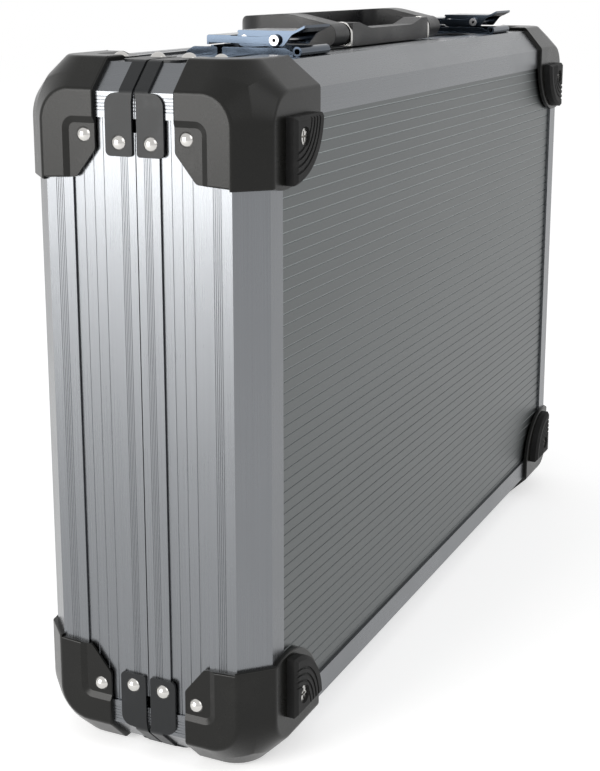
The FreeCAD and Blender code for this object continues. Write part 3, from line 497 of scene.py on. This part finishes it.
class CASE_OT_corners(bpy.types.Operator):
    """Lacquer the pressed corners and straps, and plate the rivets"""
    bl_idname = "attache_case.corners"
    bl_label = "Corners, straps and rivets"

    def execute(self, context):
        finishes, sizes = context.scene.case_finishes, context.scene.case_sizes
        corner = lacquer("corner_lacquer", finishes.lacquer_colour)
        strap = lacquer("strap_lacquer", finishes.strap_colour, roughness=0.38)
        bright = plating("bright_plating", finishes.fastener_colour, roughness=0.10)
        for shell, body in SHELLS.items():
            for where in CORNERS:
                finish_node(shell + "_cap_" + where, corner)
            rounded_node(shell + "_straps", body, strap, sizes.strap_edge)
            finish_node(shell + "_rivets", bright)
            finish_node(shell + "_floor_rivets", bright)
        return {"FINISHED"}


class CASE_OT_feet(bpy.types.Operator):
    """Mould the four feet and plate their screws"""
    bl_idname = "attache_case.feet"
    bl_label = "Rubber feet"

    def execute(self, context):
        finishes, sizes = context.scene.case_finishes, context.scene.case_sizes
        rubber = moulded_rubber("foot_rubber", finishes.rubber_colour)
        screws = plating("screw_plating", finishes.fastener_colour, roughness=0.16)
        for where in CORNERS:
            rounded_node("foot_" + where, "case_body", rubber,
                         sizes.rubber_edge)
        finish_node("foot_screws", screws)
        return {"FINISHED"}


class CASE_OT_handle(bpy.types.Operator):
    """Mould the grip and its fixed bar, and plate the cheeks and pins"""
    bl_idname = "attache_case.handle"
    bl_label = "Handle"

    def execute(self, context):
        finishes, sizes = context.scene.case_finishes, context.scene.case_sizes
        grip = moulded_grip("handle_moulding", finishes.handle_colour)
        cheeks = plating("cheek_plating", finishes.fastener_colour, roughness=0.14)
        pins = plating("pin_steel", finishes.steel_colour, roughness=0.22)
        rounded_node("handle_grip", "handle", grip, sizes.grip_edge,
                     segments=4, angle=28)
        rounded_node("handle_base", "case_body", grip,
                     sizes.handle_bar_edge, segments=3, angle=28)
        rounded_node("handle_ears", "case_body", cheeks, sizes.plate_edge)
        finish_node("handle_pins", pins)
        return {"FINISHED"}


class CASE_OT_latches(bpy.types.Operator):
    """Plate both draw latches, with soft edges on every pressed plate"""
    bl_idname = "attache_case.latches"
    bl_label = "Draw latches"

    def execute(self, context):
        finishes, sizes = context.scene.case_finishes, context.scene.case_sizes
        nickel = plating("latch_nickel", finishes.latch_colour, roughness=0.12, haze=0.10)
        pins = plating("latch_pin_steel", finishes.steel_colour, roughness=0.18)
        for side in SIDES:
            for part, body in (("base", "case_body"), ("lever", "latch_lever_" + side),
                               ("hook", "latch_hook_" + side)):
                rounded_node("latch_%s_%s" % (part, side), body, nickel,
                             sizes.plate_edge)
            finish_node("latch_hook_pin_" + side, pins)
        rounded_node("latch_strikes", "lid", nickel, sizes.plate_edge)
        finish_node("latch_lever_pins", pins)
        return {"FINISHED"}


class CASE_OT_hinges(bpy.types.Operator):
    """Plate the hinges and the folding lid stays"""
    bl_idname = "attache_case.hinges"
    bl_label = "Hinges and lid stays"

    def execute(self, context):
        finishes, sizes = context.scene.case_finishes, context.scene.case_sizes
        colour = finishes.steel_colour
        leaf = drawn_metal("hinge_steel", colour, "x", roughness=0.30, contrast=0.08)
        link = drawn_metal("stay_steel", colour, "z", roughness=0.30, contrast=0.08)
        for leaves, body in (("hinge_body_leaves", "case_body"), ("hinge_lid_leaves", "lid")):
            rounded_node(leaves, body, leaf, sizes.plate_edge)
        finish_node("hinge_pins", plating("hinge_pin_steel", colour, roughness=0.2))
        for side in SIDES:
            for part in ("lower", "upper"):
                name = "stay_%s_%s" % (part, side)
                rounded_node(name, name, link, sizes.plate_edge)
        finish_node("stay_body_anchors", link)
        finish_node("stay_lid_anchors", link)
        return {"FINISHED"}


# ---------------------------------------------------------------- quilted lining
def lying_at(parts, level):
    """The edges or faces that lie flat at this place along the case's depth."""
    return [part for part in parts if all(abs(v.co.y - level) < FLAT for v in part.verts)]


def round_off(shape, edges, width, segments):
    bmesh.ops.bevel(shape, geom=edges, offset=width, segments=segments, profile=0.5,
                    affect="EDGES", material=-1)


def widest(faces):
    return max(faces, key=lambda face: face.calc_area())


def open_tray(middle, span, rim, back, sizes):
    """A box with rounded uprights and a bevelled back, open at its rim."""
    shape = bmesh.new()
    bmesh.ops.create_cube(shape, size=1.0)
    bmesh.ops.scale(shape, vec=span, verts=shape.verts)
    bmesh.ops.translate(shape, vec=middle, verts=shape.verts)
    uprights = [e for e in shape.edges
                if abs(e.verts[0].co.y - e.verts[1].co.y) > span.y / 2]
    round_off(shape, uprights, sizes.lining_corner, segments=8)
    round_off(shape, lying_at(shape.edges, back), sizes.lining_bevel, segments=3)
    bmesh.ops.delete(shape, geom=lying_at(shape.faces, rim), context="FACES_ONLY")
    return shape


def add_inner_wall(shape, middle, span, rim, wall):
    """Copy an open tray inwards by its wall, join both at the rim; gives the inner floor."""
    copied = bmesh.ops.duplicate(
        shape, geom=list(shape.faces) + list(shape.edges) + list(shape.verts))["geom"]
    verts = [part for part in copied if isinstance(part, bmesh.types.BMVert)]
    faces = [part for part in copied if isinstance(part, bmesh.types.BMFace)]
    inner_floor = widest(faces)
    shrink = Matrix.Diagonal(Vector(((span.x - 2 * wall) / span.x, (span.y - wall) / span.y,
                                     (span.z - 2 * wall) / span.z))).to_4x4()
    pivot = Matrix.Translation(Vector((middle.x, rim, middle.z)))
    bmesh.ops.transform(shape, matrix=pivot @ shrink @ pivot.inverted(), verts=verts)
    bmesh.ops.reverse_faces(shape, faces=faces)
    bmesh.ops.bridge_loops(shape, edges=[e for e in shape.edges if e.is_boundary])
    return inner_floor


def lining_tray(node, sign, sizes):
    """A foam tray that fills its node's box: rounded corners, soft rim and a quilted back."""
    low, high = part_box(node)
    middle, span = (low + high) / 2, high - low
    rim, back = (high.y, low.y) if sign < 0 else (low.y, high.y)
    shape = open_tray(middle, span, rim, back, sizes)
    inner_floor = add_inner_wall(shape, middle, span, rim, sizes.lining_wall)
    lips = [e for e in lying_at(shape.edges, rim)
            if len(e.link_faces) == 2 and e.calc_face_angle(0) > 1]
    round_off(shape, lips, sizes.lining_wall * 0.35, segments=3)
    quilt(shape, inner_floor, sign, sizes)
    bmesh.ops.recalc_face_normals(shape, faces=shape.faces)
    return shape


def quilt(shape, floor, sign, sizes):
    """Cut a flat face into cells with sunk, sewn channels between them."""
    places = [v.co.copy() for v in floor.verts]
    level = places[0].y
    for count, way in ((sizes.quilt_columns, Vector((1, 0, 0))),
                       (sizes.quilt_rows, Vector((0, 0, 1)))):
        start, stop = min(p.dot(way) for p in places), max(p.dot(way) for p in places)
        for step in range(1, count):
            at = start + (stop - start) * step / count
            flat = (lying_at(shape.faces, level) + lying_at(shape.edges, level)
                    + [v for v in shape.verts if abs(v.co.y - level) < FLAT])
            bmesh.ops.bisect_plane(shape, geom=flat, plane_co=way * at, plane_no=way,
                                   dist=CUT)
    cells = lying_at(shape.faces, level)
    seams = {v for f in cells for v in f.verts
             if len(lying_at(v.link_edges, level)) == len(v.link_edges)}
    bmesh.ops.inset_individual(shape, faces=cells, thickness=sizes.quilt_seam, depth=0)
    cells = [f for f in lying_at(shape.faces, level) if not seams & set(f.verts)]
    bmesh.ops.inset_individual(shape, faces=cells, thickness=sizes.quilt_shoulder, depth=0)
    for v in seams:
        v.co.y += sign * sizes.quilt_channel


class CASE_OT_lining(bpy.types.Operator):
    """Line both shells with a quilted foam tray"""
    bl_idname = "attache_case.lining"
    bl_label = "Quilted lining"

    def execute(self, context):
        finishes, sizes = context.scene.case_finishes, context.scene.case_sizes
        foam = quilted_foam("lining_foam", finishes.lining_colour)
        for shell, sign in (("body", -1), ("lid", 1)):
            node = shell + "_lining"
            piece = new_piece(node + "_quilted", lining_tray(node, sign, sizes), foam,
                              SHELLS[shell])
            smooth = piece.modifiers.new("soft", "SUBSURF")
            smooth.levels = smooth.render_levels = 2
            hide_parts(node)
        return {"FINISHED"}


# ---------------------------------------------------------------- studio
def seen_directly(finish):
    """1 for rays that should meet the plain background: camera, mirror and glass."""
    camera, glossy, through = [
        finish.add("ShaderNodeLightPath", output=kind)
        for kind in ("Is Camera Ray", "Is Glossy Ray", "Is Transmission Ray")]
    return camera.or_larger(glossy).or_larger(through)


def lay_floor(studio):
    """A pale floor that keeps the case's shadow and is white elsewhere."""
    shape = bmesh.new()
    bmesh.ops.create_grid(shape, x_segments=1, y_segments=1, size=studio.floor_size / 2)
    bmesh.ops.translate(shape, vec=(0, 0, -studio.floor_gap), verts=shape.verts)
    mesh = bpy.data.meshes.new("studio_floor")
    shape.to_mesh(mesh)
    shape.free()
    floor = bpy.data.objects.new("studio_floor", mesh)
    bpy.context.scene.collection.objects.link(floor)
    finish = Finish("pale_floor")
    pale = tone(studio.backdrop_colour)
    paint = finish.add("ShaderNodeBsdfDiffuse", {},
                       {"Color": tone(studio.backdrop_colour, studio.floor_shade)})
    glow = finish.add("ShaderNodeEmission", {}, {"Color": pale, "Strength": studio.floor_glow})
    dark = finish.add("ShaderNodeEmission", {}, {"Color": pale, "Strength": 0.0})
    lift = finish.add("ShaderNodeMixShader", {}, {0: seen_directly(finish), 1: dark, 2: glow})
    both = finish.add("ShaderNodeAddShader", {}, {0: paint, 1: lift})
    finish.add("ShaderNodeOutputMaterial", {}, {"Surface": both})
    mesh.materials.append(finish.material)


def light_world(scene, studio):
    """Even daylight from all round, seen directly as the plain backdrop."""
    world = bpy.data.worlds.new("studio_surroundings")
    scene.world = world
    sky = SkyFinish(world)
    light = sky.add("ShaderNodeBackground", {},
                    {"Color": tone((1, 1, 1)), "Strength": studio.daylight})
    plain = sky.add("ShaderNodeBackground", {},
                    {"Color": tone(studio.backdrop_colour), "Strength": 1.0})
    both = sky.add("ShaderNodeMixShader", {}, {0: seen_directly(sky), 1: light, 2: plain})
    sky.add("ShaderNodeOutputWorld", {}, {"Surface": both})


def soft_lamp(name, place, aim, size, power, colour):
    """A square lamp that faces a point."""
    lamp = bpy.data.lights.new(name, "AREA")
    lamp.shape = "SQUARE"
    lamp.size = size
    lamp.energy = power
    lamp.color = colour
    holder = bpy.data.objects.new(name, lamp)
    bpy.context.scene.collection.objects.link(holder)
    holder.location = place
    holder.rotation_euler = (Vector(aim) - Vector(place)).to_track_quat("-Z", "Y").to_euler()


def place_camera(scene, studio):
    """A camera that looks along the azimuth and down by the pitch."""
    turn, pitch = studio.camera_azimuth, studio.camera_pitch
    forward = Vector((math.cos(turn) * math.cos(pitch), math.sin(turn) * math.cos(pitch),
                      -math.sin(pitch)))
    right = Vector((math.sin(turn), -math.cos(turn), 0))
    up = right.cross(forward)
    axes = Matrix((right, up, -forward)).transposed()
    camera = bpy.data.cameras.new("studio_camera")
    camera.sensor_width = 36
    camera.lens = studio.camera_lens
    camera.shift_y = studio.camera_shift
    camera.clip_start = 0.01
    holder = bpy.data.objects.new("studio_camera", camera)
    scene.collection.objects.link(holder)
    holder.matrix_world = Matrix.Translation(studio.camera_place) @ axes.to_4x4()
    scene.camera = holder


class CASE_OT_studio(bpy.types.Operator):
    """Lay the pale floor, set soft lights and place the camera"""
    bl_idname = "attache_case.studio"
    bl_label = "Floor, lights and camera"

    def execute(self, context):
        studio = context.scene.case_studio
        lay_floor(studio)
        light_world(context.scene, studio)
        soft_lamp("window_light", studio.window_place, studio.window_aim, studio.window_size,
                  studio.window_power, studio.window_colour)
        soft_lamp("fill_light", studio.fill_place, studio.fill_aim, studio.fill_size,
                  studio.fill_power, studio.fill_colour)
        place_camera(context.scene, studio)
        context.scene.view_settings.view_transform = "Standard"
        return {"FINISHED"}


# ---------------------------------------------------------------- add-on
class CASE_PT_panel(bpy.types.Panel):
    """The case's settings, and a button for each step"""
    bl_idname = "CASE_PT_panel"
    bl_label = "Attache Case"
    bl_space_type = "VIEW_3D"
    bl_region_type = "UI"
    bl_category = "Attache Case"

    def draw(self, context):
        layout = self.layout
        scene = context.scene
        for group in (scene.case_sizes, scene.case_finishes, scene.case_studio):
            box = layout.box()
            for name in group.bl_rna.properties.keys():
                if name not in ("rna_type", "name"):
                    box.prop(group, name)
        for step in STEPS:
            layout.operator(step.bl_idname)


STEPS = (CASE_OT_frame, CASE_OT_panels, CASE_OT_corners, CASE_OT_feet, CASE_OT_handle,
         CASE_OT_latches, CASE_OT_hinges, CASE_OT_lining, CASE_OT_studio)
CLASSES = (CaseFinishes, CaseSizes, CaseStudio) + STEPS + (CASE_PT_panel,)


def register():
    for item in CLASSES:
        bpy.utils.register_class(item)
    bpy.types.Scene.case_finishes = PointerProperty(type=CaseFinishes)
    bpy.types.Scene.case_sizes = PointerProperty(type=CaseSizes)
    bpy.types.Scene.case_studio = PointerProperty(type=CaseStudio)


def unregister():
    del bpy.types.Scene.case_studio
    del bpy.types.Scene.case_sizes
    del bpy.types.Scene.case_finishes
    for item in reversed(CLASSES):
        bpy.utils.unregister_class(item)


def main():
    register()
    bpy.ops.attache_case.frame()
    bpy.ops.attache_case.panels()
    bpy.ops.attache_case.corners()
    bpy.ops.attache_case.feet()
    bpy.ops.attache_case.handle()
    bpy.ops.attache_case.latches()
    bpy.ops.attache_case.hinges()
    bpy.ops.attache_case.lining()
    bpy.ops.attache_case.studio()


if __name__ == "__main__":
    main()
